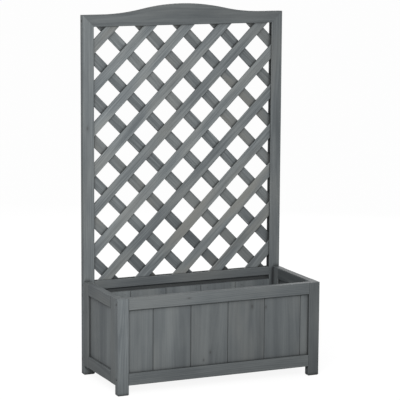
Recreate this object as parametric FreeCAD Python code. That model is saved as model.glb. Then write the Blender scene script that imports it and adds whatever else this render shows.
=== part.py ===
import FreeCAD, Part

import math
import os

# Wooden floor planter with a lattice trellis rising from its back.
# X runs across the front, +Y towards the back, +Z up.  Millimetres.
# The origin is the middle of the footprint, on the floor.

# Overall sizes
overall_width = 600.0       # across the posts, and across the front legs
overall_depth = 270.0       # front of the legs to back of the posts
post_height = 994.0         # floor to the top of the posts
box_height = 263.0          # floor to the rim of the trough
foot_height = 27.0          # clear height under the trough

# Frame timber
frame_thickness = 20.0      # thickness of every leg, post, rail and stile
post_width = 32.0
leg_width = 32.0
stile_width = 32.0          # upright edges of the two side frames
rail_height = 32.0          # rails of the trough, front, sides and back battens
edge_ease = 1.2             # flat worked along every long edge
foot_ease = 2.5             # flat worked round the bottom end of legs and posts
tenon_fit = 0.1             # clearance each side of a stub tenon in its groove
tenon_end_gap = 0.5         # room past the end of a tenon

# Trellis
top_rail_height = 32.0      # at its ends, mitred from post to top corner
arch_rise = 26.0            # crown of the top rail above its ends
arch_end_flat = 28.0        # level run between each post and the arch
trellis_rail_height = 24.0
slat_width = 28.0
slat_thickness = 6.0
slat_ease = 0.8
slat_lean = 45.0            # degrees from level
slats_each_way = 5          # slats on either side of the middle one, in each layer
corner_to_last_slat = 39.5  # corner of the opening to the last slat's centre line
lattice_fit = 0.4           # room behind the two layers in their groove
lattice_groove_depth = 7.0
lattice_end_gap = 1.0       # room past the slats' ends in the groove

# Tongued and grooved boards
board_thickness = 9.0
board_cover = 110.0         # width that one full board shows
narrowest_board = 25.0
tongue_thickness = 3.0
tongue_length = 4.0
tongue_clearance = 0.2
joint_bevel = 1.5           # half of the V between two boards
panel_setback = 6.0         # boards lie this far behind the frame's outer face
groove_depth = 8.0          # grooves in the frame that hold the boards
board_fit = 0.2             # clearance each side of a board in its groove
board_end_gap = 1.0         # room to swell at the sides and top of a panel
front_first_board = 79.0    # cut-down board at the left end of the front
side_first_board = 110.0    # board next to the front stile
back_board_count = 5
back_board_drop = 12.0      # top of the back boards below the trellis rail

# Floor of the trough
floor_board_count = 2
drain_gap = 4.0             # open joint beside each floor board
floor_end_gap = 1.0
floor_level = 50.0          # underside of the floor boards above the ground
ledger_height = 20.0
ledger_thickness = 15.0

# Countersunk screws through legs and posts into the ends of the rails
screw_length = 60.0
screw_shank_radius = 2.0
screw_head_radius = 4.0
screw_head_height = 2.4
screw_sunk = 0.4            # head below the timber's face
screw_clearance = 0.2       # round the shank in the leg or post
pilot_extra_depth = 3.0

# Places worked out from the sizes above
half_width = overall_width / 2
front_y = -overall_depth / 2
back_y = overall_depth / 2
inner_front_y = front_y + frame_thickness
inner_back_y = back_y - frame_thickness
inner_side_x = half_width - frame_thickness
leg_inner_x = half_width - leg_width
post_inner_x = half_width - post_width
opening_low_z = foot_height + rail_height
opening_high_z = box_height - rail_height
trellis_rail_low_z = box_height - trellis_rail_height
trellis_low_z = box_height
trellis_high_z = post_height - top_rail_height
groove_width = board_thickness + 2 * board_fit
panel_low_z = opening_low_z - groove_depth
panel_high_z = opening_high_z + groove_depth - board_end_gap
front_panel_half = leg_inner_x + groove_depth - board_end_gap
side_opening_low_y = inner_front_y + stile_width
side_opening_high_y = inner_back_y - stile_width
side_panel_low_y = side_opening_low_y - groove_depth + board_end_gap
side_panel_high_y = side_opening_high_y + groove_depth - board_end_gap
batten_y = inner_back_y + board_thickness
arch_half_width = post_inner_x - arch_end_flat
front_groove_y = front_y + panel_setback
side_groove_x = -half_width + panel_setback
lattice_groove_width = 2 * slat_thickness + lattice_fit
lattice_y = inner_back_y + (frame_thickness - lattice_groove_width) / 2
upright_reach = max(post_width, leg_width)

# Lengths under this count as nothing when edges are picked
tiny = 1e-6

parts = {}


def box_between(low, high):
    """Plain block between two opposite corners."""
    size = [high[i] - low[i] for i in range(3)]
    return Part.makeBox(size[0], size[1], size[2], FreeCAD.Vector(*low))


def edges_along(shape, axis):
    """Straight edges of a shape that run along one axis: 0, 1 or 2."""
    found = []
    for edge in shape.Edges:
        spans = [edge.BoundBox.XLength, edge.BoundBox.YLength, edge.BoundBox.ZLength]
        spans.pop(axis)
        if max(spans) < tiny:
            found.append(edge)
    return found


def timber(low, high, axis, ease=edge_ease):
    """Sawn bar between two corners, with its four long edges eased."""
    bar = box_between(low, high)
    return bar.makeChamfer(ease, edges_along(bar, axis))


def upright_with_foot(low, high):
    """Bar that stands on the floor, its bottom end eased all round."""
    bar = box_between(low, high)
    ground = [edge for edge in bar.Edges if edge.BoundBox.ZMax < low[2] + tiny]
    bar = bar.makeChamfer(foot_ease, ground)
    return bar.makeChamfer(edge_ease, edges_along(bar, 2))


def mirrored(shape):
    """The same piece for the other end of the planter."""
    return shape.mirror(FreeCAD.Vector(0, 0, 0), FreeCAD.Vector(1, 0, 0))


def with_tenons(rail, axis, shoulder, low, high, length):
    """Rail with a stub tenon on each end.

    axis is 0 or 1, the way the rail runs; its shoulders are at -shoulder and
    +shoulder on that axis.  low and high bound the grooves' cross section.
    """
    for sign in (-1, 1):
        ends = sorted((sign * shoulder, sign * (shoulder + length)))
        corner_low, corner_high = list(low), list(high)
        corner_low[1 - axis] += tenon_fit
        corner_high[1 - axis] -= tenon_fit
        corner_low[axis], corner_high[axis] = ends
        rail = rail.fuse(box_between(corner_low, corner_high))
    return rail


# ---- Screws and their holes -------------------------------------------------

def screw_at(y, z):
    """Countersunk screw driven along +X from the outer left face."""
    face_x = -half_width + screw_sunk
    along = FreeCAD.Vector(1, 0, 0)
    head = Part.makeCone(screw_head_radius, screw_shank_radius, screw_head_height,
                         FreeCAD.Vector(face_x, y, z), along)
    shank = Part.makeCylinder(screw_shank_radius, screw_length - screw_head_height,
                              FreeCAD.Vector(face_x + screw_head_height, y, z), along)
    return head.fuse(shank).removeSplitter()


def countersunk_hole(y, z):
    """Room for the screw's head and shank through the leg or post."""
    along = FreeCAD.Vector(1, 0, 0)
    mouth = Part.makeCylinder(screw_head_radius, screw_sunk,
                              FreeCAD.Vector(-half_width, y, z), along)
    seat = Part.makeCone(screw_head_radius, screw_shank_radius, screw_head_height,
                         FreeCAD.Vector(-half_width + screw_sunk, y, z), along)
    shaft = Part.makeCylinder(screw_shank_radius + screw_clearance, upright_reach,
                              FreeCAD.Vector(-half_width + screw_sunk, y, z), along)
    return mouth.fuse(seat).fuse(shaft)


def pilot_hole(y, z):
    """Hole for the screw's far end in the end of a rail."""
    return Part.makeCylinder(screw_shank_radius, screw_length + pilot_extra_depth,
                             FreeCAD.Vector(-half_width + screw_sunk, y, z),
                             FreeCAD.Vector(1, 0, 0))


front_screw_places = [
    ((front_y + inner_front_y) / 2, box_height - rail_height / 2),
    ((front_y + inner_front_y) / 2, foot_height + rail_height / 2),
]
rail_screw_y = (inner_back_y + back_y) / 2
batten_screw_y = (batten_y + back_y) / 2
back_screw_places = [
    (rail_screw_y, trellis_high_z + top_rail_height / 2),
    (rail_screw_y, box_height - trellis_rail_height / 2),
    (batten_screw_y, trellis_rail_low_z - rail_height / 2),
    (batten_screw_y, foot_height + rail_height / 2),
]


def drill_upright(shape, places):
    """Leg or post with its screw holes."""
    for y, z in places:
        shape = shape.cut(countersunk_hole(y, z))
    return shape


def drill_rail(shape, place):
    """Rail with a pilot hole in each end."""
    hole = pilot_hole(*place)
    return shape.cut(hole).cut(mirrored(hole))


def make_screws():
    """Every screw of the planter as one group of separate solids."""
    screws = []
    for y, z in front_screw_places + back_screw_places:
        left = screw_at(y, z)
        screws.append(left)
        screws.append(mirrored(left))
    parts["frame_screws"] = Part.makeCompound(screws)


# ---- Boards -----------------------------------------------------------------

def board_outline(low, high, joined_low, joined_high):
    """Section of one board: (across, depth) points, depth 0 on the outer face.

    A joined low edge has the groove and a joined high edge has the tongue.
    """
    middle = board_thickness / 2
    half_tongue = tongue_thickness / 2
    half_slot = half_tongue + tongue_clearance
    slot_depth = tongue_length + tongue_clearance
    points = []
    if joined_low:
        points += [(low + joint_bevel, board_thickness), (low, board_thickness - joint_bevel),
                   (low, middle + half_slot), (low + slot_depth, middle + half_slot),
                   (low + slot_depth, middle - half_slot), (low, middle - half_slot),
                   (low, joint_bevel), (low + joint_bevel, 0)]
    else:
        points += [(low, board_thickness), (low, 0)]
    if joined_high:
        points += [(high - joint_bevel, 0), (high, joint_bevel),
                   (high, middle - half_tongue), (high + tongue_length, middle - half_tongue),
                   (high + tongue_length, middle + half_tongue), (high, middle + half_tongue),
                   (high, board_thickness - joint_bevel), (high - joint_bevel, board_thickness)]
    else:
        points += [(high, 0), (high, board_thickness)]
    return points


def upright_prism(points, low_z, high_z):
    """Upright solid from the corners of its plan."""
    corners = [FreeCAD.Vector(x, y, low_z) for x, y in points]
    face = Part.Face(Part.makePolygon(corners + corners[:1]))
    return face.extrude(FreeCAD.Vector(0, 0, high_z - low_z))


def board_edges(start, first_width, end):
    """Where the joints fall when boards are laid from one end of a panel."""
    edges = [start]
    place = start + first_width
    while place < end - narrowest_board:
        edges.append(place)
        place += board_cover
    edges.append(end)
    return edges


def lay_boards(prefix, edges, low_z, high_z, place):
    """One node per board; place turns (across, depth) into (x, y)."""
    last = len(edges) - 2
    for index in range(last + 1):
        outline = board_outline(edges[index], edges[index + 1], index > 0, index < last)
        plan = [place(across, depth) for across, depth in outline]
        parts[f"{prefix}_{index + 1}"] = upright_prism(plan, low_z, high_z)


# ---- Front of the trough ----------------------------------------------------

def front_groove(low_z, high_z):
    """Slot in the plane of the front boards, from groove bottom to groove bottom."""
    reach = leg_inner_x + groove_depth
    return box_between((-reach, front_groove_y, low_z),
                       (reach, front_groove_y + groove_width, high_z))


def front_rail(low_z, high_z, screw_place):
    """Rail between the legs, grooved for the boards, with stub tenons."""
    rail = timber((-leg_inner_x, front_y, low_z), (leg_inner_x, inner_front_y, high_z), 0)
    rail = with_tenons(rail, 0, leg_inner_x, (0, front_groove_y, low_z),
                       (0, front_groove_y + groove_width, high_z), groove_depth - tenon_end_gap)
    rail = rail.cut(front_groove(panel_low_z, opening_high_z + groove_depth))
    return drill_rail(rail, screw_place)


def make_front():
    leg = upright_with_foot((-half_width, front_y, 0), (-leg_inner_x, inner_front_y, box_height))
    leg = drill_upright(leg.cut(front_groove(foot_height, box_height)), front_screw_places)
    parts["left_front_leg"] = leg
    parts["right_front_leg"] = mirrored(leg)
    parts["front_top_rail"] = front_rail(opening_high_z, box_height, front_screw_places[0])
    parts["front_bottom_rail"] = front_rail(foot_height, opening_low_z, front_screw_places[1])

    face_y = front_groove_y + board_fit
    edges = board_edges(-front_panel_half, front_first_board, front_panel_half)
    lay_boards("front_board", edges, panel_low_z, panel_high_z,
               lambda across, depth: (across, face_y + depth))


# ---- Sides of the trough ----------------------------------------------------

def side_groove(low_z, high_z):
    """Slot in the plane of the left side's boards, from groove bottom to groove bottom."""
    return box_between((side_groove_x, side_opening_low_y - groove_depth, low_z),
                       (side_groove_x + groove_width, side_opening_high_y + groove_depth, high_z))


def side_stile(low_y, high_y):
    """Upright edge of the left side, its groove running out at both ends."""
    stile = timber((-half_width, low_y, foot_height), (-inner_side_x, high_y, box_height),
                   2)
    return stile.cut(side_groove(foot_height, box_height))


def side_rail(low_z, high_z):
    """Rail of the left side, grooved for the boards, with stub tenons."""
    rail = timber((-half_width, side_opening_low_y, low_z),
                  (-inner_side_x, side_opening_high_y, high_z), 1)
    rail = with_tenons(rail, 1, side_opening_high_y, (side_groove_x, 0, low_z),
                       (side_groove_x + groove_width, 0, high_z), groove_depth - tenon_end_gap)
    return rail.cut(side_groove(panel_low_z, opening_high_z + groove_depth))


def make_sides():
    pieces = {
        "front_stile": side_stile(inner_front_y, side_opening_low_y),
        "rear_stile": side_stile(side_opening_high_y, inner_back_y),
        "side_top_rail": side_rail(opening_high_z, box_height),
        "side_bottom_rail": side_rail(foot_height, opening_low_z),
    }
    for name, piece in pieces.items():
        parts[f"left_{name}"] = piece
        parts[f"right_{name}"] = mirrored(piece)

    face_x = -side_groove_x - board_fit
    edges = board_edges(side_panel_low_y, side_first_board, side_panel_high_y)
    for hand, sign in (("left", -1), ("right", 1)):
        lay_boards(f"{hand}_side_board", edges, panel_low_z, panel_high_z,
                   lambda across, depth, sign=sign: (sign * (face_x - depth), across))


# ---- Trellis and back of the trough -----------------------------------------

def mitre_waste(x, z):
    """Wedge sawn off a piece at the left top corner, on the side where x, z lies.

    The mitre runs from the outer top corner to the inner corner of the opening.
    """
    corners = [FreeCAD.Vector(-half_width, inner_back_y, post_height),
               FreeCAD.Vector(-post_inner_x, inner_back_y, trellis_high_z),
               FreeCAD.Vector(x, inner_back_y, z)]
    face = Part.Face(Part.makePolygon(corners + corners[:1]))
    return face.extrude(FreeCAD.Vector(0, frame_thickness, 0))


def arched_rail():
    """Top rail: flat ends, then two hollow curves that roll into the crown.

    Both curves have one radius and meet half way up, in one tangent.  The ends
    are mitred onto the posts.
    """
    half_run = arch_half_width / 2
    half_rise = arch_rise / 2
    radius = (half_run ** 2 + half_rise ** 2) / (2 * half_rise)
    quarter = math.asin(half_run / radius) / 2
    bow_run = radius * math.sin(quarter)
    bow_rise = radius * (1 - math.cos(quarter))

    def at(x, z):
        return FreeCAD.Vector(x, inner_back_y, z)

    top_z = post_height
    crown_z = top_z + arch_rise
    outline = [
        Part.LineSegment(at(-half_width, trellis_high_z), at(-half_width, top_z)),
        Part.LineSegment(at(-half_width, top_z), at(-arch_half_width, top_z)),
        Part.Arc(at(-arch_half_width, top_z), at(-arch_half_width + bow_run, top_z + bow_rise),
                 at(-half_run, top_z + half_rise)),
        Part.Arc(at(-half_run, top_z + half_rise), at(0, crown_z), at(half_run, top_z + half_rise)),
        Part.Arc(at(half_run, top_z + half_rise), at(arch_half_width - bow_run, top_z + bow_rise),
                 at(arch_half_width, top_z)),
        Part.LineSegment(at(arch_half_width, top_z), at(half_width, top_z)),
        Part.LineSegment(at(half_width, top_z), at(half_width, trellis_high_z)),
        Part.LineSegment(at(half_width, trellis_high_z), at(-half_width, trellis_high_z)),
    ]
    face = Part.Face(Part.Wire([piece.toShape() for piece in outline]))
    rail = face.extrude(FreeCAD.Vector(0, frame_thickness, 0))
    long_edges = [edge for edge in rail.Edges
                  if edge.BoundBox.YLength < tiny and edge.BoundBox.XLength > tiny]
    rail = rail.makeChamfer(edge_ease, long_edges)
    waste = mitre_waste(-half_width, trellis_high_z)
    return rail.cut(waste).cut(mirrored(waste))


def lattice_space(margin, low_z, high_z):
    """Slab in the plane of the lattice, reaching margin into the posts."""
    reach = post_inner_x + margin
    return box_between((-reach, lattice_y, low_z),
                       (reach, lattice_y + lattice_groove_width, high_z))


def trellis_rail(rail, screw_place):
    """Top or bottom rail of the trellis, grooved for the slats and drilled."""
    rail = rail.cut(lattice_space(lattice_groove_depth, trellis_low_z - lattice_groove_depth,
                                  trellis_high_z + lattice_groove_depth))
    return drill_rail(rail, screw_place)


def make_trellis_frame():
    post = upright_with_foot((-half_width, inner_back_y, 0), (-post_inner_x, back_y, post_height))
    post = post.cut(mitre_waste(-post_inner_x, post_height))
    post = post.cut(lattice_space(lattice_groove_depth, trellis_rail_low_z,
                                  trellis_high_z + lattice_groove_depth))
    post = drill_upright(post, back_screw_places)
    parts["left_post"] = post
    parts["right_post"] = mirrored(post)
    parts["arched_top_rail"] = trellis_rail(arched_rail(), back_screw_places[0])
    lower = timber((-post_inner_x, inner_back_y, trellis_rail_low_z),
                   (post_inner_x, back_y, box_height), 0)
    lower = with_tenons(lower, 0, post_inner_x, (0, lattice_y, trellis_rail_low_z),
                        (0, lattice_y + lattice_groove_width, box_height),
                        lattice_groove_depth - tenon_end_gap)
    parts["trellis_bottom_rail"] = trellis_rail(lower, back_screw_places[1])


def make_back_wall():
    """Battens at the back of the posts, with boards on their inner face."""
    upper = timber((-post_inner_x, batten_y, trellis_rail_low_z - rail_height),
                   (post_inner_x, back_y, trellis_rail_low_z), 0)
    parts["back_upper_batten"] = drill_rail(upper, back_screw_places[2])
    lower = timber((-post_inner_x, batten_y, foot_height),
                   (post_inner_x, back_y, opening_low_z), 0)
    parts["back_lower_batten"] = drill_rail(lower, back_screw_places[3])

    width = 2 * post_inner_x / back_board_count
    edges = [-post_inner_x + index * width for index in range(back_board_count + 1)]
    lay_boards("back_board", edges, foot_height, trellis_rail_low_z - back_board_drop,
               lambda across, depth: (across, inner_back_y + depth))


def make_lattice():
    """Two layers of slats that cross at right angles, their ends in the frame's groove."""
    sunk = lattice_groove_depth - lattice_end_gap
    outline = lattice_space(sunk, trellis_low_z - sunk, trellis_high_z + sunk)
    centre_z = (trellis_low_z + trellis_high_z) / 2
    half_height = (trellis_high_z - trellis_low_z) / 2
    lean = math.radians(slat_lean)
    corner = post_inner_x * math.sin(lean) + half_height * math.cos(lean)
    spacing = (corner - corner_to_last_slat) / slats_each_way
    length = 2 * math.hypot(post_inner_x + sunk, half_height + sunk)
    for name, side, face_y in (("front_slat", 1, lattice_y),
                               ("rear_slat", -1, lattice_y + slat_thickness)):
        for index in range(-slats_each_way, slats_each_way + 1):
            slat = timber((-length / 2, face_y, -slat_width / 2),
                          (length / 2, face_y + slat_thickness, slat_width / 2),
                          0, slat_ease)
            slat.rotate(FreeCAD.Vector(0, 0, 0), FreeCAD.Vector(0, 1, 0), -slat_lean * side)
            offset = index * spacing
            slat.translate(FreeCAD.Vector(-side * offset * math.sin(lean), 0,
                                          centre_z + offset * math.cos(lean)))
            parts[f"{name}_{index + slats_each_way + 1:02d}"] = slat.common(outline)


# ---- Floor of the trough ----------------------------------------------------

def make_floor():
    """Long boards with open joints, on a ledger along each side frame."""
    ledger = timber((-inner_side_x, inner_front_y + floor_end_gap, floor_level - ledger_height),
                    (-inner_side_x + ledger_thickness, inner_back_y - floor_end_gap, floor_level),
                    1)
    parts["left_floor_ledger"] = ledger
    parts["right_floor_ledger"] = mirrored(ledger)

    depth = inner_back_y - inner_front_y
    width = (depth - (floor_board_count + 1) * drain_gap) / floor_board_count
    reach = inner_side_x - floor_end_gap
    for index in range(floor_board_count):
        low_y = inner_front_y + drain_gap + index * (width + drain_gap)
        parts[f"floor_board_{index + 1}"] = timber(
            (-reach, low_y, floor_level), (reach, low_y + width, floor_level + board_thickness),
            0)


def first_solid(shape):
    """The single solid inside a boolean result."""
    return shape.Solids[0] if len(shape.Solids) == 1 else shape


make_front()
make_sides()
make_trellis_frame()
make_back_wall()
make_lattice()
make_floor()
make_screws()

os.makedirs("parts", exist_ok=True)
for node, shape in parts.items():
    first_solid(shape).exportStep(f"parts/{node}.step")
print(len(parts), "nodes,", sum(len(shape.Solids) for shape in parts.values()), "solids")
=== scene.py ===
# %% [markdown]
# # A stained planter with a lattice trellis
# The timber itself comes as a finished model: every leg, rail, board and slat is already the right
# size and in the right place.  This lesson dresses it: a camera, soft light, a grey wood stain that
# follows the grain of each piece, and the small metal fasteners that hold the wood together.

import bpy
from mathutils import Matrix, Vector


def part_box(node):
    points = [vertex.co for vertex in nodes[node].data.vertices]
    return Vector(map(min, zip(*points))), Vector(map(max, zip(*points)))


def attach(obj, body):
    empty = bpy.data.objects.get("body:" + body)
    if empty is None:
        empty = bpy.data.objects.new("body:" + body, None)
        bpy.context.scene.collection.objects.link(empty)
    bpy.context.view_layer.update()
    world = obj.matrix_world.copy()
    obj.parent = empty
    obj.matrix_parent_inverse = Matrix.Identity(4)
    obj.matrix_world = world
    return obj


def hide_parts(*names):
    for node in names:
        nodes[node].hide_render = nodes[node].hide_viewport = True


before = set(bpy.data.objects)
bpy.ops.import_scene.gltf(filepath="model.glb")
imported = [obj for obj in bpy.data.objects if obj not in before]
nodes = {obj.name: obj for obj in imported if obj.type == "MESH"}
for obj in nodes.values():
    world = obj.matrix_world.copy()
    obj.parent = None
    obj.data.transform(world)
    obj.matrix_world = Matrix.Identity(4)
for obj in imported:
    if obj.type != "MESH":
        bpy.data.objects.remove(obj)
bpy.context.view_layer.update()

import math
import random

import bmesh
import bpy
import numpy as np
from mathutils import Matrix, Vector

scene = bpy.context.scene

# %% [markdown]
# ## Camera
# The picture was taken with a long lens from the front left, a little above the rim of the trough.
# A long lens keeps upright posts almost parallel.  The three angles below turn a camera that first
# looks along +Y: yaw turns it right, pitch tips it down, and roll is a slight tilt of the picture.
# The shift moves the frame sideways and up, in widths of the sensor, and turns nothing.

# %% Place the camera
CAMERA_PLACE = Vector((-2.1275, -4.6907, 1.3234))
YAW, PITCH, ROLL = math.radians(24.437), math.radians(9.160), math.radians(0.350)
SENSOR_WIDTH = 36.0
LENS = 171.47
SHIFT_X, SHIFT_Y = -0.00594, -0.00238

camera_data = bpy.data.cameras.new("photo_camera")
camera_data.sensor_width = SENSOR_WIDTH
camera_data.lens = LENS
camera_data.shift_x, camera_data.shift_y = SHIFT_X, SHIFT_Y
camera = bpy.data.objects.new("photo_camera", camera_data)
scene.collection.objects.link(camera)

forward = Vector((math.sin(YAW) * math.cos(PITCH), math.cos(YAW) * math.cos(PITCH),
                  -math.sin(PITCH)))
level_right = Vector((math.cos(YAW), -math.sin(YAW), 0))
level_up = level_right.cross(forward)
right = math.cos(ROLL) * level_right + math.sin(ROLL) * level_up
up = math.cos(ROLL) * level_up - math.sin(ROLL) * level_right
turn = Matrix((right, up, -forward)).transposed()
camera.matrix_world = Matrix.Translation(CAMERA_PLACE) @ turn.to_4x4()
scene.camera = camera
print("camera is", round(CAMERA_PLACE.length, 2), "m from the planter")

# %% [markdown]
# ## A small vocabulary for materials
# A material is a graph of nodes.  These few helpers keep the graphs readable: `add` makes one node
# and wires its inputs, `calc` is one sum, `soften` is a smooth step, `blend` mixes two colours, and
# `noise` is a cloud that can be drawn out along the grain.

# %% Helpers for node graphs
def add(tree, kind, inputs=None, **settings):
    """One node.  Inputs are plain values, or output sockets of other nodes."""
    made = tree.nodes.new(kind)
    for key, value in settings.items():
        setattr(made, key, value)
    for key, value in (inputs or {}).items():
        if isinstance(value, bpy.types.NodeSocket):
            tree.links.new(value, made.inputs[key])
        else:
            made.inputs[key].default_value = value
    return made


def calc(tree, operation, first, second=0.0):
    return add(tree, "ShaderNodeMath", {0: first, 1: second}, operation=operation).outputs[0]


def soften(tree, value, start, end, low=0.0, high=1.0):
    """Goes smoothly from low to high while value goes from start to end."""
    return add(tree, "ShaderNodeMapRange", {
        "Value": value, "From Min": start, "From Max": end, "To Min": low, "To Max": high,
    }, interpolation_type="SMOOTHSTEP").outputs["Result"]


def blend(tree, amount, first, second, way="MIX"):
    """Two colours; amount 0 gives the first and 1 the second."""
    made = add(tree, "ShaderNodeMix", data_type="RGBA", blend_type=way)
    for index, value in ((0, amount), (6, first), (7, second)):
        if isinstance(value, bpy.types.NodeSocket):
            tree.links.new(value, made.inputs[index])
        else:
            made.inputs[index].default_value = value
    return made.outputs[2]


def noise(tree, place, along, across, detail, rough=0.5):
    """Cloud noise; its two scales are lumps per metre along and across the grain."""
    scaled = add(tree, "ShaderNodeMapping", {"Vector": place, "Scale": (along, across, across)})
    return add(tree, "ShaderNodeTexNoise", {
        "Vector": scaled.outputs[0], "Scale": 1.0, "Detail": detail, "Roughness": rough,
    }).outputs["Fac"]


print("helpers ready")

# %% [markdown]
# ## The figure of the wood
# Wood grain is not a pattern on the surface.  A trunk is a stack of tapering tubes, the yearly
# rings, and a board is a slice through them.  So the figure is worked out in space: X runs along the
# trunk, and a ring is a distance from the trunk's centre line, wobbled a little by noise.  Where a
# slice runs nearly along the tubes it shows long arches, and a sawn end shows rings, with no extra
# work.  The group gives five fields: rings, fine fibres, narrow streaks, broad bands, and blotches
# where the stain took unevenly.

# %% Build the figure as a node group
RINGS_PER_METRE = 230.0
SPRING_WOOD, SUMMER_WOOD = (0.15, 0.85), (0.86, 1.0)    # a ring rises slowly and ends at once
WOBBLE = 0.030                          # metres that the trunk wanders
WOBBLE_LUMPS = (1.6, 9.0, 9.0)          # per metre, along and across the trunk
FIELDS = ("Rings", "Fibre", "Streak", "Band", "Blotch")

figure = bpy.data.node_groups.new("wood_figure", "ShaderNodeTree")
figure.interface.new_socket(name="Place", in_out="INPUT", socket_type="NodeSocketVector")
for field in FIELDS:
    figure.interface.new_socket(name=field, in_out="OUTPUT", socket_type="NodeSocketFloat")
entry = figure.nodes.new("NodeGroupInput").outputs["Place"]
leave = figure.nodes.new("NodeGroupOutput")

drift = add(figure, "ShaderNodeMapping", {"Vector": entry, "Scale": WOBBLE_LUMPS})
drift = add(figure, "ShaderNodeTexNoise", {
    "Vector": drift.outputs[0], "Scale": 1.0, "Detail": 2.0})
drift = add(figure, "ShaderNodeVectorMath", {0: drift.outputs["Color"], 1: (0.5, 0.5, 0.5)},
            operation="SUBTRACT")       # the noise is centred on 0.5
drift = add(figure, "ShaderNodeVectorMath", {0: drift.outputs[0], "Scale": WOBBLE},
            operation="SCALE")
bent = add(figure, "ShaderNodeVectorMath", {0: entry, 1: drift.outputs[0]}, operation="ADD")
bent = bent.outputs[0]
flat = add(figure, "ShaderNodeVectorMath", {0: bent, 1: (0.0, 1.0, 1.0)}, operation="MULTIPLY")
radius = add(figure, "ShaderNodeVectorMath", {0: flat.outputs[0]}, operation="LENGTH")
year = calc(figure, "FRACT", calc(figure, "MULTIPLY", radius.outputs["Value"], RINGS_PER_METRE))
rings = calc(figure, "SUBTRACT", soften(figure, year, *SPRING_WOOD),
             soften(figure, year, *SUMMER_WOOD))
fields = {
    "Rings": rings,
    "Fibre": noise(figure, entry, along=16.0, across=700.0, detail=3.0, rough=0.6),
    "Streak": noise(figure, bent, along=2.0, across=150.0, detail=3.0, rough=0.6),
    "Band": noise(figure, bent, along=1.1, across=34.0, detail=2.0),
    "Blotch": noise(figure, entry, along=5.0, across=16.0, detail=3.0),
}
for field, value in fields.items():
    figure.links.new(value, leave.inputs[field])
print("wood_figure has", len(figure.nodes), "nodes")

# %% [markdown]
# ## Which way the grain runs
# Timber is sawn along the trunk, so grain follows the length of each piece: up the legs, posts and
# boards, along the rails, and along each slat at 45 degrees.  `grain_turn` gives the rotation that
# lays a piece's length on X, and `measured` finds the piece's middle and half sizes in that frame.

# %% Find each piece's grain
UPRIGHT = ("post", "leg", "stile", "front_board", "back_board", "side_board")
FRONT_TO_BACK = ("ledger", "side_top_rail", "side_bottom_rail")


def grain_turn(name):
    """(rx, ry, rz) that turns the piece's length onto the X axis."""
    if name.startswith("front_slat"):
        return (0.0, math.radians(45), 0.0)
    if name.startswith("rear_slat"):
        return (0.0, math.radians(-45), 0.0)
    if any(word in name for word in FRONT_TO_BACK):
        return (0.0, 0.0, math.radians(-90))
    if any(word in name for word in UPRIGHT):
        return (0.0, math.radians(90), 0.0)
    return (0.0, 0.0, 0.0)


def measured(name):
    """Middle and half sizes of a piece, along and across its grain, in metres."""
    points = np.array([v.co for v in nodes[name].data.vertices])
    _, tip, swing = grain_turn(name)
    turn = Matrix.Rotation(tip, 3, "Y") @ Matrix.Rotation(swing, 3, "Z")
    points = points @ np.array(turn).T
    low, high = points.min(axis=0), points.max(axis=0)
    return (low + high) / 2, (high - low) / 2


for name in ("left_post", "front_slat_06", "front_board_3"):
    sizes = [round(2000 * float(half)) for half in measured(name)[1]]
    print(name, "is", sizes, "mm along and across")

# %% [markdown]
# ## Knots
# A knot is a branch that the trunk grew round: a dark oval core, and grain that parts to pass it.
# Both come from one measure, how far a point is from the knot's centre in units of its size.  The
# core is dark, and outside it the coordinates are pushed aside before the figure is looked up.

# %% Knots push the grain aside
KNOT_CORE = (1.30, 0.25)    # knot sizes from the centre, where the core starts and is full
KNOT_HALO = (2.6, 0.9)      # the same for the grain around it
KNOT_PUSH = -0.75           # share of the way to the knot's middle line
HALO_SHADE = 0.35


def pass_knots(tree, place, knots):
    """Bends the place vector round the knots.  Returns (place, darkness).

    Each knot is (along, axis across, across, length, width) in the piece's own frame, in metres.
    """
    darkness = 0.0
    for along, axis, across, length, width in knots:
        parts = add(tree, "ShaderNodeSeparateXYZ", {"Vector": place})
        run = calc(tree, "SUBTRACT", parts.outputs[0], along)
        side = calc(tree, "SUBTRACT", parts.outputs[axis], across)
        apart = add(tree, "ShaderNodeCombineXYZ", {
            0: calc(tree, "DIVIDE", run, length), 1: calc(tree, "DIVIDE", side, width)})
        apart = add(tree, "ShaderNodeVectorMath", {0: apart.outputs[0]}, operation="LENGTH")
        apart = apart.outputs["Value"]
        core = soften(tree, apart, *KNOT_CORE)
        halo = soften(tree, apart, *KNOT_HALO)
        push = calc(tree, "MULTIPLY", calc(tree, "MULTIPLY", side, halo), KNOT_PUSH)
        offset = add(tree, "ShaderNodeCombineXYZ", {axis: push})
        place = add(tree, "ShaderNodeVectorMath", {0: place, 1: offset.outputs[0]},
                    operation="ADD").outputs[0]
        shade = calc(tree, "ADD", core, calc(tree, "MULTIPLY", halo, HALO_SHADE))
        darkness = calc(tree, "MAXIMUM", shade, darkness)
    return place, darkness


print("grain parts within", KNOT_HALO[0], "sizes of a knot")

# %% [markdown]
# ## Grey stain on sawn softwood
# The finish is a thin water-based stain, so the grain shows through it.  Soft spring wood takes more
# stain than hard summer wood, and blotches turn a little browner.  So the five fields are weighed
# and added, and the sum picks a colour between the darkest and the palest stain.  Boards show mostly
# broad bands, frame bars a little of everything, and sawn laths streaks and fibres.

# %% Colours of the stain
STAIN_DARK = (0.088, 0.099, 0.105, 1.0)
STAIN_PALE = (0.170, 0.186, 0.190, 1.0)
STAIN_WARM = (0.166, 0.164, 0.150, 1.0)
# paler edge colour: partly rubbed wear, partly a painted highlight
WORN_AND_HIGHLIT_EDGE = (0.215, 0.228, 0.226, 1.0)
KNOT = (0.040, 0.038, 0.036, 1.0)
# painted shade: nearly black, for grooves and hidden ends
GROOVE_SHADE_COLOUR = (0.020, 0.022, 0.023, 1.0)
print("the palest stain reflects", round(STAIN_PALE[1] / STAIN_DARK[1], 2), "times the darkest")

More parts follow.
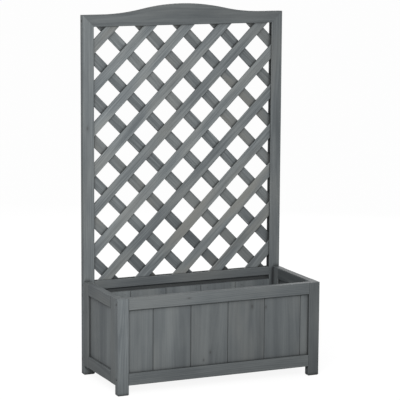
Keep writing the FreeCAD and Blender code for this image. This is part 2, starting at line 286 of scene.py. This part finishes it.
# %% How much of each field the stain shows
FIGURES = {
    "frame": {"Rings": 0.14, "Fibre": 0.50, "Streak": 0.40, "Band": 0.45, "Blotch": 0.60},
    "board": {"Rings": 0.08, "Fibre": 0.25, "Streak": 0.24, "Band": 1.00, "Blotch": 0.75},
    "slat": {"Rings": 0.15, "Fibre": 0.80, "Streak": 1.10, "Band": 0.20, "Blotch": 0.90},
}
FIELD_MIDDLE = 0.49                     # where the weighted fields lie on average
CONTRAST = {"frame": 0.34, "board": 0.40, "slat": 0.20}     # their range from dark to pale


def kind_of(name):
    """slat, board or frame."""
    return "slat" if "slat" in name else "board" if "board" in name else "frame"


def stain_range(kind):
    """Sums of the weighted fields that give the dark and the pale stain."""
    total, spread = sum(FIGURES[kind].values()), CONTRAST[kind]
    return (FIELD_MIDDLE - spread / 2) * total, (FIELD_MIDDLE + spread / 2) * total


print("boards go from dark to pale over", [round(v, 2) for v in stain_range("board")])

# %% Mix the stain
BLOTCH_RANGE = (0.40, 0.70)             # of the blotch field, from grey to warm
LOG_RUN, LOG_ASIDE = 9, 0.05            # metres along the trunk, and to either side of its middle
LOG_DEPTH = (0.03, 0.07)                # metres from the trunk's middle to the piece
LOG_TURN, LOG_LEAN = 0.5, 0.02          # radians about the trunk, and out of line with it


def piece_place(tree, place, name, middle):
    """Object coordinates, turned along the grain and centred on the piece."""
    turned = add(tree, "ShaderNodeMapping", {"Vector": place, "Rotation": grain_turn(name)})
    centred = add(tree, "ShaderNodeVectorMath", {0: turned.outputs[0], 1: tuple(middle)},
                  operation="SUBTRACT")
    return centred.outputs[0]


def in_the_log(tree, place, draw):
    """The piece put at its own place in its own trunk."""
    spot = (draw.uniform(-LOG_RUN, LOG_RUN), draw.uniform(*LOG_DEPTH),
            draw.uniform(-LOG_ASIDE, LOG_ASIDE))
    turn = (draw.uniform(-LOG_TURN, LOG_TURN), draw.uniform(-LOG_LEAN, LOG_LEAN),
            draw.uniform(-LOG_LEAN, LOG_LEAN))
    return add(tree, "ShaderNodeMapping", {
        "Vector": place, "Location": spot, "Rotation": turn}).outputs[0]


def stain_colour(tree, grain, kind, warmth):
    """Colour of the stain on clean wood, from the outputs of the figure."""
    taken = 0.0
    for field, weight in FIGURES[kind].items():
        taken = calc(tree, "ADD", taken, calc(tree, "MULTIPLY", grain[field], weight))
    colour = blend(tree, soften(tree, taken, *stain_range(kind)), STAIN_DARK, STAIN_PALE)
    warm = soften(tree, grain["Blotch"], *BLOTCH_RANGE, 0.0, warmth)
    return blend(tree, warm, colour, STAIN_WARM)


print("stain mixed from", len(FIELDS), "fields")

# %% [markdown]
# ## Paler edges, darkening low down, and painted shade
# Eased edges are made a shade paler, partly as rubbed wear and partly as a painted highlight.
# Grooves
# and the hidden ends of pieces are painted nearly black as painted shade.  Neither needs a texture:
# in the piece's own frame they are distances from its faces.  The wood is darker towards the foot of
# the trough, and painted shade darkens every crease where two pieces meet, except on ledges that look
# up, which are kept lit as painted light.  Creases are found with the ambient occlusion node, which
# measures how closed in a point is.

# %% Edges and hidden ends
EDGE_PALING = (0.0020, 0.0004)     # metres from an edge, where the wear and painted highlight start and are full
EDGE_WANDER = 0.0012            # metres that the fibres shift its limit
EDGE_WEAR_AND_HIGHLIGHT = 0.28
# metres inside the piece's outer faces, where the painted groove shade starts and is full
GROOVE_SHADE_DEPTH = (0.0013, 0.0030)


def depths(tree, place, half):
    """Distance of a point inside the piece's ends, sides and faces, in metres."""
    parts = add(tree, "ShaderNodeSeparateXYZ", {"Vector": place}).outputs
    return [calc(tree, "SUBTRACT", float(half[i]), calc(tree, "ABSOLUTE", parts[i]))
            for i in range(3)]


def wear_and_highlight_edges(tree, colour, inward, fibre):
    """Paler along the piece's long edges: partly rubbed wear, partly a painted highlight."""
    from_edge = calc(tree, "ADD", calc(tree, "MAXIMUM", inward[1], inward[2]),
                     calc(tree, "MULTIPLY", fibre, EDGE_WANDER))
    return blend(tree, soften(tree, from_edge, *EDGE_PALING, 0.0, EDGE_WEAR_AND_HIGHLIGHT), colour, WORN_AND_HIGHLIT_EDGE)


def paint_groove_shade(tree, colour, inward):
    """Painted shade: nearly black in grooves and on ends inside other pieces."""
    deep = calc(tree, "MINIMUM", calc(tree, "MINIMUM", inward[1], inward[2]), inward[0])
    return blend(tree, soften(tree, deep, *GROOVE_SHADE_DEPTH), colour, GROOVE_SHADE_COLOUR)


print("edges are paler for", EDGE_PALING[0] * 1000, "mm")

# %% Darker towards the bottom, and painted shade in creases
LOW_DARKENING_HEIGHTS = (0.01, 0.17)        # heights between which the darkening towards the bottom fades
LOW_DARKENING_WANDER = 0.06              # metres that the blotches shift its limit
LOW_DARKENING = 0.78
CREASE_REACH = 0.014            # metres that the crease test looks
CREASE_OPEN = (0.50, 0.99)      # share of open air, from the darkest painted crease shade to unshaded wood
CREASE_SHADE_LOW = 0.28
LEDGE_TILT = (0.4, 0.9)         # how far a face looks up, from a side to a ledge
# faces that look up keep at least this share of their colour, as painted light from above
LEDGE_LIT = 0.95


def low_darkening_and_crease_shade(tree, coordinates, blotch):
    """What the darkening towards the bottom and the painted shade in creases leave of the colour: 1
    elsewhere.
    """
    height = add(tree, "ShaderNodeSeparateXYZ", {"Vector": coordinates["Object"]}).outputs[2]
    # darker towards the bottom of the trough
    darkening = calc(tree, "ADD", height, calc(tree, "MULTIPLY", blotch, LOW_DARKENING_WANDER))
    darkening = soften(tree, darkening, *LOW_DARKENING_HEIGHTS, LOW_DARKENING, 1.0)
    # painted shade in creases, from the ambient occlusion node
    open_air = add(tree, "ShaderNodeAmbientOcclusion", {"Distance": CREASE_REACH}, samples=12)
    crease_shade = soften(tree, open_air.outputs["AO"], *CREASE_OPEN, CREASE_SHADE_LOW, 1.0)
    facing_up = add(tree, "ShaderNodeSeparateXYZ", {"Vector": coordinates["Normal"]}).outputs[2]
    crease_shade = calc(tree, "MAXIMUM", crease_shade, soften(tree, facing_up, *LEDGE_TILT, 0.0, LEDGE_LIT))
    return calc(tree, "MULTIPLY", darkening, crease_shade)


print("damp fades", LOW_DARKENING_HEIGHTS[1], "m above the ground")

# %% The material of one piece
KNOT_STRENGTH = 0.42
NOISE_RANGE = (0.3, 0.7)                # where nearly all of a noise lies
ROUGHNESS = (0.52, 0.70)
FIBRE_RELIEF, RING_RELIEF = 0.7, 0.3
RELIEF_HEIGHT, RELIEF_STRENGTH = 0.0004, 0.35


def shade_of(tree, value):
    """A grey colour from one number."""
    return add(tree, "ShaderNodeCombineColor", {0: value, 1: value, 2: value}).outputs[0]


def stained_wood(name, tone_and_light, warmth, knots=(), hides_ends=True, seed=0):
    """Material of one piece.  The tone number is around 1 and carries painted light and shade with
    the stain's tone; warmth is 0 to 1.
    """
    middle, half = measured(name)
    draw = random.Random(seed)
    material = bpy.data.materials.new(f"stain_{name}")
    material.use_nodes = True
    tree = material.node_tree
    shader = tree.nodes["Principled BSDF"]

    coordinates = add(tree, "ShaderNodeTexCoord").outputs
    place = piece_place(tree, coordinates["Object"], name, middle)
    bent_place, darkness = pass_knots(tree, place, knots)
    grain = add(tree, "ShaderNodeGroup", {"Place": in_the_log(tree, bent_place, draw)},
                node_tree=figure).outputs
    colour = stain_colour(tree, grain, kind_of(name), warmth)
    inward = depths(tree, place, half)
    # paler edges: rubbed wear and a painted highlight
    colour = wear_and_highlight_edges(tree, colour, inward, grain["Fibre"])
    if knots:
        colour = blend(tree, calc(tree, "MULTIPLY", darkness, KNOT_STRENGTH), colour, KNOT)
    # darkening towards the bottom, painted crease shade, and the tone with its painted light and
    # shade
    shade_and_tone = calc(tree, "MULTIPLY", low_darkening_and_crease_shade(tree, coordinates, grain["Blotch"]), tone_and_light)
    colour = blend(tree, 1.0, colour, shade_of(tree, shade_and_tone), "MULTIPLY")
    if hides_ends:
        # painted shade, nearly black, in grooves and on hidden ends
        colour = paint_groove_shade(tree, colour, inward)

    tree.links.new(colour, shader.inputs["Base Color"])
    tree.links.new(soften(tree, grain["Fibre"], *NOISE_RANGE, *ROUGHNESS),
                   shader.inputs["Roughness"])
    shader.inputs["IOR"].default_value = 1.45
    relief = calc(tree, "ADD", calc(tree, "MULTIPLY", grain["Fibre"], FIBRE_RELIEF),
                  calc(tree, "MULTIPLY", grain["Rings"], RING_RELIEF))
    bump = add(tree, "ShaderNodeBump", {
        "Strength": RELIEF_STRENGTH, "Distance": RELIEF_HEIGHT, "Height": relief})
    tree.links.new(bump.outputs[0], shader.inputs["Normal"])
    return material


print("the grain stands", RELIEF_HEIGHT * 1000, "mm high at most")

# %% [markdown]
# ## Stain every piece
# No two pieces come out of the pot alike.  Each gets its own place in the trunk and its own tone,
# drawn from a seeded random generator so that the planter is the same each time.  The slats vary
# most, because they are ripped from many offcuts, and a few of them are browner.  The table of group
# tones scales some groups of pieces as a whole: partly stain that differs, and partly painted light
# and shade, lighter on the left and on the back boards, darker on the right and on the rear slats.
# The knots are where the picture shows them, and a few more are on pieces that it doesn't show.

# %% Stain every piece
KNOTS = {
    "front_board_3": [(-0.0505, 2, -0.001, 0.0045, 0.0028), (-0.0705, 2, 0.019, 0.0040, 0.0025)],
    "front_board_4": [(0.0655, 2, -0.015, 0.0065, 0.0038)],
    "front_board_5": [(0.0600, 2, 0.053, 0.0060, 0.0030)],
    "front_top_rail": [(-0.0940, 2, 0.003, 0.0050, 0.0022)],
    "left_rear_stile": [(0.0370, 1, -0.004, 0.0035, 0.0018)],
    "left_post": [(-0.3210, 1, -0.007, 0.0035, 0.0018), (0.1900, 2, 0.004, 0.0060, 0.0030)],
    "back_board_2": [(0.0300, 2, 0.020, 0.0090, 0.0060)],
    "back_board_5": [(-0.0450, 2, -0.012, 0.0070, 0.0045)],
    "right_side_board_1": [(0.0400, 1, 0.018, 0.0080, 0.0050)],
    "floor_board_1": [(-0.1200, 1, 0.020, 0.0100, 0.0060)],
}
TONE = {"slat": 1.27, "board": 0.86, "frame": 0.92}         # laths took the least stain
TONE_SPREAD = {"slat": 0.12, "board": 0.05, "frame": 0.04}
# painted light and shade as well as stain: lighter on the left and on the back boards, darker on the
# right and on the rear slats
GROUP_TONE_AND_LIGHT = {"rear_slat": 0.84, "left_post": 1.20, "left_front_leg": 1.20, "right_front_leg": 0.78,
            "right_post": 1.07, "left_side_board": 1.26, "right_side": 0.70, "back_board": 1.45,
            "front_board_5": 1.12, "front_board_6": 1.06, "arched_top_rail": 0.95,
            "front_bottom_rail": 0.97}
SLAT_WARMTHS, WARMTH = (0.3, 0.35, 0.4, 0.7), (0.1, 0.3)

draw = random.Random(7)
for index, name in enumerate(sorted(nodes)):
    if name == "frame_screws":
        continue
    kind = kind_of(name)
    tone_and_light = TONE[kind] + draw.uniform(-TONE_SPREAD[kind], TONE_SPREAD[kind])
    tone_and_light *= next((off for start, off in GROUP_TONE_AND_LIGHT.items() if name.startswith(start)), 1.0)
    warmth = draw.choice(SLAT_WARMTHS) if kind == "slat" else draw.uniform(*WARMTH)
    material = stained_wood(name, tone_and_light, warmth, KNOTS.get(name, ()),
                            hides_ends=name != "arched_top_rail", seed=index)
    nodes[name].data.materials.clear()
    nodes[name].data.materials.append(material)
print(len(bpy.data.materials), "materials")

# %% [markdown]
# ## Dull zinc for the fasteners
# Screws for garden furniture are zinc plated.  A year outdoors turns the shine into a soft grey bloom
# with darker pits, so one noise drives both the colour and the roughness.

# %% Material of the metal
ZINC_PIT, ZINC_BLOOM = (0.10, 0.10, 0.10, 1.0), (0.30, 0.31, 0.31, 1.0)
PATCHES_PER_METRE = 900.0
BLOOM_RANGE = (0.35, 0.65)              # of the noise, from pit to bloom
ZINC_ROUGHNESS = (0.38, 0.62)
RECESS_REACH = 0.002                    # metres that the test for painted shade in the recess looks
RECESS_OPEN, RECESS_SHADE = (0.4, 0.95), 0.25


def dull_zinc():
    """Material of every screw, pin and staple."""
    material = bpy.data.materials.new("dull_zinc")
    material.use_nodes = True
    tree = material.node_tree
    shader = tree.nodes["Principled BSDF"]
    place = add(tree, "ShaderNodeTexCoord").outputs["Object"]
    bloom = add(tree, "ShaderNodeTexNoise", {
        "Vector": place, "Scale": PATCHES_PER_METRE, "Detail": 4.0}).outputs["Fac"]
    colour = blend(tree, soften(tree, bloom, *BLOOM_RANGE), ZINC_PIT, ZINC_BLOOM)
    # painted shade in the cross recess, from the ambient occlusion node
    open_air = add(tree, "ShaderNodeAmbientOcclusion", {"Distance": RECESS_REACH}, samples=8)
    recess_shade = soften(tree, open_air.outputs["AO"], *RECESS_OPEN, RECESS_SHADE, 1.0)
    colour = blend(tree, 1.0, colour, shade_of(tree, recess_shade), "MULTIPLY")
    tree.links.new(colour, shader.inputs["Base Color"])
    tree.links.new(soften(tree, bloom, *NOISE_RANGE, *ZINC_ROUGHNESS), shader.inputs["Roughness"])
    shader.inputs["Metallic"].default_value = 1.0
    return material


zinc = dull_zinc()
print(zinc.name, "has patches of about", round(1000 / PATCHES_PER_METRE, 1), "mm")

# %% [markdown]
# ## One countersunk screw
# A wood screw is turned from rod, so its body is a half profile spun round an axis.  The cross recess
# is pressed in afterwards, and the mesh is made in the same order: cut the flat top along the sides
# of the cross, pick the faces inside it, and push them down while drawing them together.  Extruding
# leaves the picked faces behind as a lid, so they are deleted.
# The screw is modelled with its head at the origin and its shank pointing down.

# %% Model a countersunk screw
SPIN_STEPS = 20
TOUCH, FINE_TOUCH = 1e-6, 1e-7          # metres closer than which points are the same
FLAT_TOP, RIM_DROP = 0.96, 0.05         # in head radii: the flat of the head, and its eased rim
CROSS_ARM, CROSS_REACH = 0.14, 0.58     # in head radii: half the width of an arm, and its length
CROSS_DEPTH, CROSS_TAPER = 0.6, 0.72    # depth in head heights, and its floor against its mouth
POINT = 2.5                             # length of the point in shank radii


def keep_solid(shape):
    """Closes seams and turns every face outwards."""
    bmesh.ops.remove_doubles(shape, verts=shape.verts, dist=TOUCH)
    bmesh.ops.recalc_face_normals(shape, faces=shape.faces)


def countersunk_screw(head_radius, shank_radius, head_height, length):
    """A bmesh of one screw with a cross recess."""
    shape = bmesh.new()
    tip = shank_radius * POINT
    profile = [(0.0, 0.0), (head_radius * FLAT_TOP, 0.0), (head_radius, -head_radius * RIM_DROP),
               (shank_radius, -head_height), (shank_radius, tip - length), (0.0, -length)]
    line = [shape.verts.new((r, 0.0, z)) for r, z in profile]
    edges = [shape.edges.new(pair) for pair in zip(line, line[1:])]
    bmesh.ops.spin(shape, geom=line + edges, cent=(0, 0, 0), axis=(0, 0, 1),
                   angle=math.tau, steps=SPIN_STEPS, use_merge=True)
    keep_solid(shape)

    half_arm, reach = head_radius * CROSS_ARM, head_radius * CROSS_REACH
    for axis in ((1, 0, 0), (0, 1, 0)):
        for offset in (-reach, -half_arm, half_arm, reach):
            top = [f for f in shape.faces if f.calc_center_median().z > -TOUCH]
            top += dict.fromkeys(e for f in top for e in f.edges)
            top += dict.fromkeys(v for f in top[:] if isinstance(f, bmesh.types.BMFace)
                                 for v in f.verts)
            bmesh.ops.bisect_plane(shape, geom=top, dist=FINE_TOUCH,
                                   plane_co=Vector(axis) * offset, plane_no=axis)
    cross = []
    for face in shape.faces:
        at = face.calc_center_median()
        wide, narrow = max(abs(at.x), abs(at.y)), min(abs(at.x), abs(at.y))
        if at.z > -TOUCH and narrow < half_arm and wide < reach:
            cross.append(face)
    sunk = bmesh.ops.extrude_face_region(shape, geom=cross)["geom"]
    sunk = [v for v in sunk if isinstance(v, bmesh.types.BMVert)]
    bmesh.ops.delete(shape, geom=cross, context="FACES")
    bmesh.ops.scale(shape, vec=(CROSS_TAPER, CROSS_TAPER, 1.0), verts=sunk)
    bmesh.ops.translate(shape, vec=(0, 0, -head_height * CROSS_DEPTH), verts=sunk)
    bmesh.ops.recalc_face_normals(shape, faces=shape.faces)
    return shape


HEAD_RADIUS = 0.0040
frame_screw = countersunk_screw(HEAD_RADIUS, shank_radius=0.0020, head_height=0.0024, length=0.0600)
print("one screw has", len(frame_screw.faces), "faces")

# %% [markdown]
# ## Copies in their places
# Many fasteners of a kind are easier to handle as one object.  `gather` copies the pattern to each
# place and joins the copies, and `facing` says where a copy's head points.  The copies are moved in
# the mesh itself, so every object stays at the origin.

# %% Put copies of a fastener in place
def gather(name, pattern, places):
    """One object holding a copy of the pattern at every place (a list of 4x4 matrices)."""
    whole = bmesh.new()
    for place in places:
        piece = pattern.copy()
        bmesh.ops.transform(piece, matrix=place, verts=piece.verts)
        mesh = bpy.data.meshes.new("one")
        piece.to_mesh(mesh)
        piece.free()
        whole.from_mesh(mesh)
        bpy.data.meshes.remove(mesh)
    mesh = bpy.data.meshes.new(name)
    whole.to_mesh(mesh)
    whole.free()
    mesh.materials.append(zinc)
    made = bpy.data.objects.new(name, mesh)
    scene.collection.objects.link(made)
    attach(made, "root")
    return made


def facing(direction, place, spin=0.0):
    """Matrix that points a fastener's head along direction and puts it at place."""
    turned = Vector(direction).to_track_quat("Z", "Y").to_matrix().to_4x4()
    return Matrix.Translation(place) @ turned @ Matrix.Rotation(spin, 4, "Z")


print("fasteners are made of", zinc.name)

# %% [markdown]
# ## Screws through the legs and posts
# Each rail is held by a screw through the leg or post into its end.  The model already has plain
# screws in the right places, so their heads are looked up there, and the detailed ones stand in
# for them.  Every screw stopped turning at its own angle.

# %% Drive the frame screws
screw_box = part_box("frame_screws")
HEAD_X = screw_box[1][0]
RAILS = ("front_top_rail", "front_bottom_rail", "trellis_bottom_rail", "back_upper_batten",
         "back_lower_batten")
ends = {}
for rail in RAILS:
    low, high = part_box(rail)
    ends[rail] = ((low[1] + high[1]) / 2, (low[2] + high[2]) / 2)
ends["arched_top_rail"] = (ends["trellis_bottom_rail"][0], screw_box[1][2] - HEAD_RADIUS)

draw = random.Random(3)
places = []
for y, z in ends.values():
    for side in (-1, 1):
        places.append(facing((side, 0, 0), (side * HEAD_X, y, z), draw.uniform(0, math.pi)))
frame_screws = gather("countersunk_screws", frame_screw, places)
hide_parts("frame_screws")
print(len(places), "screws, heads", round(HEAD_X * 1000, 2), "mm from the middle")

# %% [markdown]
# ## Screws in the floor
# Four screws hold each floor board to the ledgers, and two hold each ledger to the side frame.
# They are shorter and thinner than the frame screws, and their heads end a hair above the wood.

# %% Drive the floor screws
PROUD = 0.0002              # how far these heads stand out of the wood
BOARD_END, BOARD_EDGE = 0.007, 0.022    # from a floor board's end and edge to its screws
LEDGER_END = 0.030          # from a ledger's end to its screw
floor_screw = countersunk_screw(head_radius=0.0034, shank_radius=0.0017, head_height=0.0020,
                                length=0.0220)
places = []
for board in ("floor_board_1", "floor_board_2"):
    low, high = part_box(board)
    for x in (low[0] + BOARD_END, high[0] - BOARD_END):
        for y in (low[1] + BOARD_EDGE, high[1] - BOARD_EDGE):
            places.append(facing((0, 0, 1), (x, y, high[2] + PROUD), draw.uniform(0, math.pi)))
for ledger, side in (("left_floor_ledger", 1), ("right_floor_ledger", -1)):
    low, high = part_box(ledger)
    inner_x = high[0] if side > 0 else low[0]
    middle_z = (low[2] + high[2]) / 2
    for y in (low[1] + LEDGER_END, high[1] - LEDGER_END):
        places.append(facing((side, 0, 0), (inner_x + side * PROUD, y, middle_z),
                             draw.uniform(0, math.pi)))
gather("floor_screws", floor_screw, places)
print(len(places), "floor and ledger screws")

# %% [markdown]
# ## Pins in the back boards
# The back boards are pinned to the two battens behind them, two pins to a board at each batten.
# A pin is a nail with a small domed head: a sphere squashed and cut in half, on a thin shank.

# %% Model a pin
DOME, SHANK = 0.35, 0.45    # in head radii: height of the dome, and radius of the shank
CUT = -1e-5                 # the sphere is cut just under its middle, clear of its own edges
PIN_SIDES, PIN_RINGS = 12, 6


def domed_pin(head_radius, length):
    """A bmesh of one pin, its dome standing on the origin and its shank pointing down."""
    shape = bmesh.new()
    bmesh.ops.create_uvsphere(shape, u_segments=PIN_SIDES, v_segments=PIN_RINGS,
                              radius=head_radius)
    bmesh.ops.scale(shape, vec=(1.0, 1.0, DOME), verts=shape.verts)
    cut = bmesh.ops.bisect_plane(shape, geom=shape.verts[:] + shape.edges[:] + shape.faces[:],
                                 plane_co=(0, 0, CUT), plane_no=(0, 0, 1), clear_inner=True)
    rim = [e for e in cut["geom_cut"] if isinstance(e, bmesh.types.BMEdge)]
    shank = bmesh.ops.extrude_edge_only(shape, edges=rim)["geom"]
    ends = [v for v in shank if isinstance(v, bmesh.types.BMVert)]
    bmesh.ops.scale(shape, vec=(SHANK, SHANK, 1.0), verts=ends)
    shank_edges = [e for e in shank if isinstance(e, bmesh.types.BMEdge)
                   and all(v in ends for v in e.verts)]
    point = bmesh.ops.extrude_edge_only(shape, edges=shank_edges)["geom"]
    point = [v for v in point if isinstance(v, bmesh.types.BMVert)]
    bmesh.ops.translate(shape, vec=(0, 0, -length), verts=point)
    bmesh.ops.pointmerge(shape, verts=point, merge_co=(0, 0, -length))
    keep_solid(shape)
    return shape


pin = domed_pin(head_radius=0.0016, length=0.0160)
print("one pin has", len(pin.faces), "faces")

# %% Drive the pins
BACK_BOARDS = 5
PIN_EDGE = 0.020            # from the side of a board to its pins
PIN_DROP = {"back_upper_batten": 0.006, "back_lower_batten": 0.0}   # below the batten's middle

places = []
for batten, drop in PIN_DROP.items():
    low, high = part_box(batten)
    z = (low[2] + high[2]) / 2 - drop
    for index in range(1, BACK_BOARDS + 1):
        board_low, board_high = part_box(f"back_board_{index}")
        for x in (board_low[0] + PIN_EDGE, board_high[0] - PIN_EDGE):
            places.append(facing((0, -1, 0), (x, board_low[1], z)))
gather("board_pins", pin, places)
print(len(places), "pins")

# %% [markdown]
# ## Staples at the crossings
# Where two slats cross, a staple is shot through from behind, so the back of the rear layer shows a
# short wire at every crossing.  A staple is a bent wire, and it is made as one: a small ring, drawn
# out along a leg, spun round the bend, drawn along the crown, and back into the wood.

# %% Bend a staple
WIRE_RADIUS, CROWN, LEG = 0.00055, 0.0085, 0.0080
BEND = 0.0011               # radius of a bend, on the wire's middle line
WIRE_SIDES, BEND_STEPS = 6, 3


def bent_staple():
    """A bmesh of one staple, crown along X, legs pointing down, back of the crown at the origin."""
    shape = bmesh.new()
    bmesh.ops.create_circle(shape, cap_ends=False, radius=WIRE_RADIUS, segments=WIRE_SIDES)
    start = (-CROWN / 2, 0.0, -WIRE_RADIUS - LEG)
    bmesh.ops.translate(shape, vec=start, verts=shape.verts)
    ring = shape.edges[:]

    def onward(ring, step):
        made = bmesh.ops.extrude_edge_only(shape, edges=ring)["geom"]
        moved = [v for v in made if isinstance(v, bmesh.types.BMVert)]
        bmesh.ops.translate(shape, vec=step, verts=moved)
        return [e for e in made if isinstance(e, bmesh.types.BMEdge)
                and all(v in moved for v in e.verts)]

    def round_bend(ring, centre):
        corners = list(dict.fromkeys(v for e in ring for v in e.verts))
        made = bmesh.ops.spin(shape, geom=corners + ring, cent=centre, axis=(0, 1, 0),
                              angle=math.pi / 2, steps=BEND_STEPS, use_merge=False)["geom_last"]
        return [e for e in made if isinstance(e, bmesh.types.BMEdge)]

    ring = onward(ring, (0, 0, LEG - BEND))
    ring = round_bend(ring, (-CROWN / 2 + BEND, 0, -WIRE_RADIUS - BEND))
    ring = onward(ring, (CROWN - 2 * BEND, 0, 0))
    ring = round_bend(ring, (CROWN / 2 - BEND, 0, -WIRE_RADIUS - BEND))
    onward(ring, (0, 0, -(LEG - BEND)))
    bmesh.ops.holes_fill(shape, edges=shape.edges, sides=0)
    keep_solid(shape)
    return shape


staple = bent_staple()
print("one staple has", len(staple.faces), "faces")

# %% Shoot a staple at every crossing
SLATS_EACH_WAY = 5
CORNER_TO_LAST_SLAT = 0.0395
STAPLE_PROUD = 0.0006       # the crown is half sunk in the wood
KEEP_OFF = 0.012            # crossings nearer the frame than this have no staple
STAPLE_WANDER = 0.25        # radians that a staple may be off true

opening_half = -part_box("left_post")[1][0]
opening_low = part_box("trellis_bottom_rail")[1][2]
opening_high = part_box("arched_top_rail")[0][2]
middle_z = (opening_low + opening_high) / 2
half_height = (opening_high - opening_low) / 2
slat_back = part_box("rear_slat_06")[1][1]
step = ((opening_half + half_height) * math.sqrt(0.5) - CORNER_TO_LAST_SLAT) / SLATS_EACH_WAY
across = step * math.sqrt(0.5)

places = []
for front in range(-SLATS_EACH_WAY, SLATS_EACH_WAY + 1):
    for rear in range(-SLATS_EACH_WAY, SLATS_EACH_WAY + 1):
        x, rise = (rear - front) * across, (rear + front) * across
        if abs(x) < opening_half - KEEP_OFF and abs(rise) < half_height - KEEP_OFF:
            places.append(facing((0, 1, 0), (x, slat_back + STAPLE_PROUD, middle_z + rise),
                                 math.radians(45)
                                 + draw.uniform(-STAPLE_WANDER, STAPLE_WANDER)))
gather("slat_staples", staple, places)
print(len(places), "staples, slats", round(step * 1000, 2), "mm apart")

# %% [markdown]
# ## Floor and light
# The planter stands on a pale studio floor that runs out to white, with daylight from all around
# and one soft lamp near the front left, so that light falls off towards the right.  A weaker lamp
# behind keeps the back from going dull.  A floor that looks pure white would also throw too much
# light up at the wood.  So there are two floors, a millimetre apart: one that only the camera sees,
# nearly white by its own glow, and under it a duller one that only the light sees.

# %% Two floors
GLOW, SEEN_GREY, BOUNCE_GREY = 0.90, 0.15, 0.48
FLOOR_SIZE, FLOOR_GAP = 30.0, 0.001     # metres from the middle to a side, and between the floors


def studio_floor(name, grey, glow):
    """A matt sheet at the planter's feet that glows by itself."""
    sheet = bmesh.new()
    bmesh.ops.create_grid(sheet, x_segments=1, y_segments=1, size=FLOOR_SIZE)
    mesh = bpy.data.meshes.new(name)
    sheet.to_mesh(mesh)
    sheet.free()
    material = bpy.data.materials.new(name)
    material.use_nodes = True
    shader = material.node_tree.nodes["Principled BSDF"]
    shader.inputs["Base Color"].default_value = (grey, grey, grey, 1.0)
    shader.inputs["Roughness"].default_value = 0.9
    shader.inputs["Specular IOR Level"].default_value = 0.0
    shader.inputs["Emission Color"].default_value = (1.0, 1.0, 1.0, 1.0)
    shader.inputs["Emission Strength"].default_value = glow
    mesh.materials.append(material)
    made = bpy.data.objects.new(name, mesh)
    scene.collection.objects.link(made)
    return made


seen_floor = studio_floor("seen_floor", SEEN_GREY, GLOW)
seen_floor.visible_diffuse = False
seen_floor.visible_glossy = False
seen_floor.visible_shadow = False
bounce_floor = studio_floor("bounce_floor", BOUNCE_GREY, 0.0)
bounce_floor.visible_camera = False
bounce_floor.location.z = -FLOOR_GAP
print(seen_floor.name, "and", bounce_floor.name, "lie", FLOOR_GAP * 1000, "mm apart")

# %% Sky and lamps
AMBIENT = 0.56
LAMP_TARGET = Vector((0.0, 0.0, 0.40))
LAMPS = {                               # place, watts, width of the square
    "soft_lamp": (Vector((-0.90, -1.50, 1.00)), 26.0, 0.9),
    "back_lamp": (Vector((1.30, 2.00, 1.20)), 12.0, 1.2),
}

sky = bpy.data.worlds.new("studio_white")
sky.use_nodes = True
backdrop = sky.node_tree.nodes["Background"]
backdrop.inputs["Color"].default_value = (1.0, 1.0, 1.0, 1.0)
seen = add(sky.node_tree, "ShaderNodeLightPath").outputs["Is Camera Ray"]
strength = calc(sky.node_tree, "MAXIMUM", seen, AMBIENT)     # white to look at, duller as light
sky.node_tree.links.new(strength, backdrop.inputs["Strength"])
scene.world = sky
scene.view_settings.view_transform = "Standard"

for name, (place, watts, width) in LAMPS.items():
    lamp_data = bpy.data.lights.new(name, "AREA")
    lamp_data.shape = "SQUARE"
    lamp_data.size = width
    lamp_data.energy = watts
    lamp = bpy.data.objects.new(name, lamp_data)
    lamp.location = place
    lamp.rotation_euler = (LAMP_TARGET - place).to_track_quat("-Z", "Y").to_euler()
    lamp.visible_camera = False
    scene.collection.objects.link(lamp)
print(len(LAMPS), "lamps and a sky of strength", AMBIENT)
